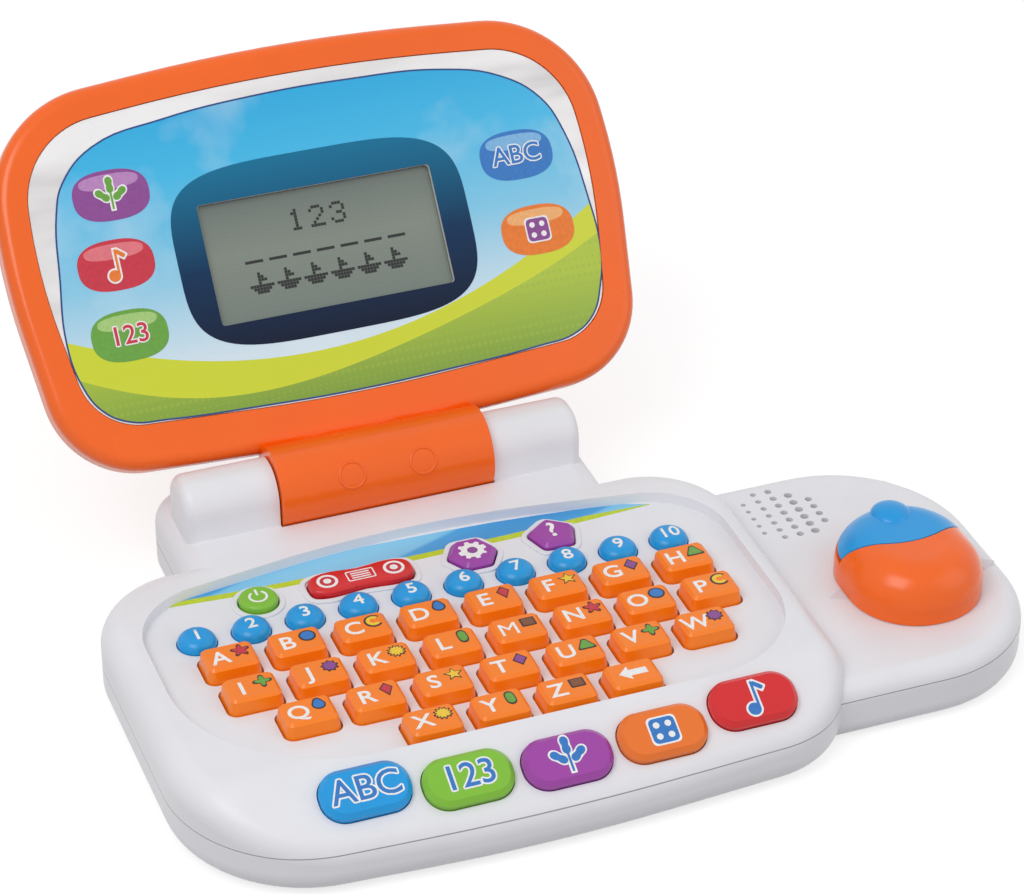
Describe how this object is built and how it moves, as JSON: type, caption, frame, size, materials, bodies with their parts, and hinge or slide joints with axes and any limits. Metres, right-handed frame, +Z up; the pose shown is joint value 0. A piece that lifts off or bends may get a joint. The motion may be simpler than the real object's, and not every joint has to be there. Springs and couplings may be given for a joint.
{
  "type": "toy laptop computer",
  "caption": "Toy laptop with a hinged screen lid, push keys in rows, sloped mode keys and a small sliding mouse on a side lobe.",
  "frame": {"origin": "on the flat underside, below the middle of the row of number keys", "axes": "+X to the right towards the mouse, +Y to the back towards the hinge, +Z up"},
  "size_m": [0.265, 0.2429, 0.1361],
  "materials": {
    "white_shell": "satin moulded ABS",
    "orange_shell": "glossy moulded ABS",
    "orange_key": "satin moulded ABS",
    "blue_key": "glossy moulded ABS",
    "green_key": "glossy moulded ABS",
    "red_key": "glossy moulded ABS",
    "purple_key": "glossy moulded ABS",
    "amber_key": "glossy moulded ABS",
    "printed_panel": "printed gloss panel",
    "display": "reflective LCD behind glass",
    "screw_steel": "zinc plated",
    "board": "glass fibre laminate",
    "mat_rubber": "silicone rubber",
    "speaker_can": "black can",
    "pin_plastic": "acetal"
  },
  "bodies": {
    "base": {"base_top_shell": "white_shell", "base_bottom_shell": "white_shell", "battery_door": "white_shell", "case_screws": "screw_steel", "circuit_board": "board", "keypad_mat": "mat_rubber", "speaker": "speaker_can"},
    "lid": {"lid_front_shell": "orange_shell", "lid_back_shell": "orange_shell", "screen_panel": "printed_panel", "lcd_module": "display", "hinge_pins": "pin_plastic"},
    "mouse": {"mouse_body": "orange_shell"},
    "mouse_button": {"mouse_button": "blue_key"},
    "key_a": {"key_a": "orange_key"},
    "key_b": {"key_b": "orange_key"},
    "key_c": {"key_c": "orange_key"},
    "key_d": {"key_d": "orange_key"},
    "key_e": {"key_e": "orange_key"},
    "key_f": {"key_f": "orange_key"},
    "key_g": {"key_g": "orange_key"},
    "key_h": {"key_h": "orange_key"},
    "key_i": {"key_i": "orange_key"},
    "key_j": {"key_j": "orange_key"},
    "key_k": {"key_k": "orange_key"},
    "key_l": {"key_l": "orange_key"},
    "key_m": {"key_m": "orange_key"},
    "key_n": {"key_n": "orange_key"},
    "key_o": {"key_o": "orange_key"},
    "key_p": {"key_p": "orange_key"},
    "key_q": {"key_q": "orange_key"},
    "key_r": {"key_r": "orange_key"},
    "key_s": {"key_s": "orange_key"},
    "key_t": {"key_t": "orange_key"},
    "key_u": {"key_u": "orange_key"},
    "key_v": {"key_v": "orange_key"},
    "key_w": {"key_w": "orange_key"},
    "key_x": {"key_x": "orange_key"},
    "key_y": {"key_y": "orange_key"},
    "key_z": {"key_z": "orange_key"},
    "key_erase": {"key_erase": "orange_key"},
    "number_1": {"number_1": "blue_key"},
    "number_2": {"number_2": "blue_key"},
    "number_3": {"number_3": "blue_key"},
    "number_4": {"number_4": "blue_key"},
    "number_5": {"number_5": "blue_key"},
    "number_6": {"number_6": "blue_key"},
    "number_7": {"number_7": "blue_key"},
    "number_8": {"number_8": "blue_key"},
    "number_9": {"number_9": "blue_key"},
    "number_10": {"number_10": "blue_key"},
    "power_key": {"power_key": "green_key"},
    "name_key": {"name_key": "red_key"},
    "settings_key": {"settings_key": "purple_key"},
    "help_key": {"help_key": "purple_key"},
    "mode_letters": {"mode_letters": "blue_key"},
    "mode_numbers": {"mode_numbers": "green_key"},
    "mode_nature": {"mode_nature": "purple_key"},
    "mode_logic": {"mode_logic": "amber_key"},
    "mode_music": {"mode_music": "red_key"}
  },
  "joints": [
    {"name": "lid_hinge", "type": "hinge", "parent": "base", "child": "lid", "pos_m": [0, 0.054, 0.034], "axis": [1, 0, 0], "range_deg": [0, 130]},
    {"name": "mouse_slide", "type": "slide", "parent": "base", "child": "mouse", "axis": [1, 0, 0], "range_m": [-0.004, 0.004], "stiffness_N_per_m": 150},
    {"name": "mouse_button_press", "type": "slide", "parent": "mouse", "child": "mouse_button", "axis": [0, 0, -1], "range_m": [0, 0.0012], "stiffness_N_per_m": 400, "springref_m": -0.001},
    {"name": "key_a_press", "type": "slide", "parent": "base", "child": "key_a", "axis": [0, 0, -1], "range_m": [0, 0.0015], "stiffness_N_per_m": 300, "springref_m": -0.001},
    {"name": "key_b_press", "type": "slide", "parent": "base", "child": "key_b", "axis": [0, 0, -1], "range_m": [0, 0.0015], "stiffness_N_per_m": 300, "springref_m": -0.001},
    {"name": "key_c_press", "type": "slide", "parent": "base", "child": "key_c", "axis": [0, 0, -1], "range_m": [0, 0.0015], "stiffness_N_per_m": 300, "springref_m": -0.001},
    {"name": "key_d_press", "type": "slide", "parent": "base", "child": "key_d", "axis": [0, 0, -1], "range_m": [0, 0.0015], "stiffness_N_per_m": 300, "springref_m": -0.001},
    {"name": "key_e_press", "type": "slide", "parent": "base", "child": "key_e", "axis": [0, 0, -1], "range_m": [0, 0.0015], "stiffness_N_per_m": 300, "springref_m": -0.001},
    {"name": "key_f_press", "type": "slide", "parent": "base", "child": "key_f", "axis": [0, 0, -1], "range_m": [0, 0.0015], "stiffness_N_per_m": 300, "springref_m": -0.001},
    {"name": "key_g_press", "type": "slide", "parent": "base", "child": "key_g", "axis": [0, 0, -1], "range_m": [0, 0.0015], "stiffness_N_per_m": 300, "springref_m": -0.001},
    {"name": "key_h_press", "type": "slide", "parent": "base", "child": "key_h", "axis": [0, 0, -1], "range_m": [0, 0.0015], "stiffness_N_per_m": 300, "springref_m": -0.001},
    {"name": "key_i_press", "type": "slide", "parent": "base", "child": "key_i", "axis": [0, 0, -1], "range_m": [0, 0.0015], "stiffness_N_per_m": 300, "springref_m": -0.001},
    {"name": "key_j_press", "type": "slide", "parent": "base", "child": "key_j", "axis": [0, 0, -1], "range_m": [0, 0.0015], "stiffness_N_per_m": 300, "springref_m": -0.001},
    {"name": "key_k_press", "type": "slide", "parent": "base", "child": "key_k", "axis": [0, 0, -1], "range_m": [0, 0.0015], "stiffness_N_per_m": 300, "springref_m": -0.001},
    {"name": "key_l_press", "type": "slide", "parent": "base", "child": "key_l", "axis": [0, 0, -1], "range_m": [0, 0.0015], "stiffness_N_per_m": 300, "springref_m": -0.001},
    {"name": "key_m_press", "type": "slide", "parent": "base", "child": "key_m", "axis": [0, 0, -1], "range_m": [0, 0.0015], "stiffness_N_per_m": 300, "springref_m": -0.001},
    {"name": "key_n_press", "type": "slide", "parent": "base", "child": "key_n", "axis": [0, 0, -1], "range_m": [0, 0.0015], "stiffness_N_per_m": 300, "springref_m": -0.001},
    {"name": "key_o_press", "type": "slide", "parent": "base", "child": "key_o", "axis": [0, 0, -1], "range_m": [0, 0.0015], "stiffness_N_per_m": 300, "springref_m": -0.001},
    {"name": "key_p_press", "type": "slide", "parent": "base", "child": "key_p", "axis": [0, 0, -1], "range_m": [0, 0.0015], "stiffness_N_per_m": 300, "springref_m": -0.001},
    {"name": "key_q_press", "type": "slide", "parent": "base", "child": "key_q", "axis": [0, 0, -1], "range_m": [0, 0.0015], "stiffness_N_per_m": 300, "springref_m": -0.001},
    {"name": "key_r_press", "type": "slide", "parent": "base", "child": "key_r", "axis": [0, 0, -1], "range_m": [0, 0.0015], "stiffness_N_per_m": 300, "springref_m": -0.001},
    {"name": "key_s_press", "type": "slide", "parent": "base", "child": "key_s", "axis": [0, 0, -1], "range_m": [0, 0.0015], "stiffness_N_per_m": 300, "springref_m": -0.001},
    {"name": "key_t_press", "type": "slide", "parent": "base", "child": "key_t", "axis": [0, 0, -1], "range_m": [0, 0.0015], "stiffness_N_per_m": 300, "springref_m": -0.001},
    {"name": "key_u_press", "type": "slide", "parent": "base", "child": "key_u", "axis": [0, 0, -1], "range_m": [0, 0.0015], "stiffness_N_per_m": 300, "springref_m": -0.001},
    {"name": "key_v_press", "type": "slide", "parent": "base", "child": "key_v", "axis": [0, 0, -1], "range_m": [0, 0.0015], "stiffness_N_per_m": 300, "springref_m": -0.001},
    {"name": "key_w_press", "type": "slide", "parent": "base", "child": "key_w", "axis": [0, 0, -1], "range_m": [0, 0.0015], "stiffness_N_per_m": 300, "springref_m": -0.001},
    {"name": "key_x_press", "type": "slide", "parent": "base", "child": "key_x", "axis": [0, 0, -1], "range_m": [0, 0.0015], "stiffness_N_per_m": 300, "springref_m": -0.001},
    {"name": "key_y_press", "type": "slide", "parent": "base", "child": "key_y", "axis": [0, 0, -1], "range_m": [0, 0.0015], "stiffness_N_per_m": 300, "springref_m": -0.001},
    {"name": "key_z_press", "type": "slide", "parent": "base", "child": "key_z", "axis": [0, 0, -1], "range_m": [0, 0.0015], "stiffness_N_per_m": 300, "springref_m": -0.001},
    {"name": "key_erase_press", "type": "slide", "parent": "base", "child": "key_erase", "axis": [0, 0, -1], "range_m": [0, 0.0015], "stiffness_N_per_m": 300, "springref_m": -0.001},
    {"name": "number_1_press", "type": "slide", "parent": "base", "child": "number_1", "axis": [0, 0, -1], "range_m": [0, 0.0015], "stiffness_N_per_m": 300, "springref_m": -0.001},
    {"name": "number_2_press", "type": "slide", "parent": "base", "child": "number_2", "axis": [0, 0, -1], "range_m": [0, 0.0015], "stiffness_N_per_m": 300, "springref_m": -0.001},
    {"name": "number_3_press", "type": "slide", "parent": "base", "child": "number_3", "axis": [0, 0, -1], "range_m": [0, 0.0015], "stiffness_N_per_m": 300, "springref_m": -0.001},
    {"name": "number_4_press", "type": "slide", "parent": "base", "child": "number_4", "axis": [0, 0, -1], "range_m": [0, 0.0015], "stiffness_N_per_m": 300, "springref_m": -0.001},
    {"name": "number_5_press", "type": "slide", "parent": "base", "child": "number_5", "axis": [0, 0, -1], "range_m": [0, 0.0015], "stiffness_N_per_m": 300, "springref_m": -0.001},
    {"name": "number_6_press", "type": "slide", "parent": "base", "child": "number_6", "axis": [0, 0, -1], "range_m": [0, 0.0015], "stiffness_N_per_m": 300, "springref_m": -0.001},
    {"name": "number_7_press", "type": "slide", "parent": "base", "child": "number_7", "axis": [0, 0, -1], "range_m": [0, 0.0015], "stiffness_N_per_m": 300, "springref_m": -0.001},
    {"name": "number_8_press", "type": "slide", "parent": "base", "child": "number_8", "axis": [0, 0, -1], "range_m": [0, 0.0015], "stiffness_N_per_m": 300, "springref_m": -0.001},
    {"name": "number_9_press", "type": "slide", "parent": "base", "child": "number_9", "axis": [0, 0, -1], "range_m": [0, 0.0015], "stiffness_N_per_m": 300, "springref_m": -0.001},
    {"name": "number_10_press", "type": "slide", "parent": "base", "child": "number_10", "axis": [0, 0, -1], "range_m": [0, 0.0015], "stiffness_N_per_m": 300, "springref_m": -0.001},
    {"name": "power_key_press", "type": "slide", "parent": "base", "child": "power_key", "axis": [0, 0, -1], "range_m": [0, 0.0015], "stiffness_N_per_m": 300, "springref_m": -0.001},
    {"name": "name_key_press", "type": "slide", "parent": "base", "child": "name_key", "axis": [0, 0, -1], "range_m": [0, 0.0015], "stiffness_N_per_m": 300, "springref_m": -0.001},
    {"name": "settings_key_press", "type": "slide", "parent": "base", "child": "settings_key", "axis": [0, 0, -1], "range_m": [0, 0.0015], "stiffness_N_per_m": 300, "springref_m": -0.001},
    {"name": "help_key_press", "type": "slide", "parent": "base", "child": "help_key", "axis": [0, 0, -1], "range_m": [0, 0.0015], "stiffness_N_per_m": 300, "springref_m": -0.001},
    {"name": "mode_letters_press", "type": "slide", "parent": "base", "child": "mode_letters", "axis": [0, 0.454, -0.891], "range_m": [0, 0.0015], "stiffness_N_per_m": 300, "springref_m": -0.001},
    {"name": "mode_numbers_press", "type": "slide", "parent": "base", "child": "mode_numbers", "axis": [0, 0.454, -0.891], "range_m": [0, 0.0015], "stiffness_N_per_m": 300, "springref_m": -0.001},
    {"name": "mode_nature_press", "type": "slide", "parent": "base", "child": "mode_nature", "axis": [0, 0.454, -0.891], "range_m": [0, 0.0015], "stiffness_N_per_m": 300, "springref_m": -0.001},
    {"name": "mode_logic_press", "type": "slide", "parent": "base", "child": "mode_logic", "axis": [0, 0.454, -0.891], "range_m": [0, 0.0015], "stiffness_N_per_m": 300, "springref_m": -0.001},
    {"name": "mode_music_press", "type": "slide", "parent": "base", "child": "mode_music", "axis": [0, 0.454, -0.891], "range_m": [0, 0.0015], "stiffness_N_per_m": 300, "springref_m": -0.001}
  ]
}
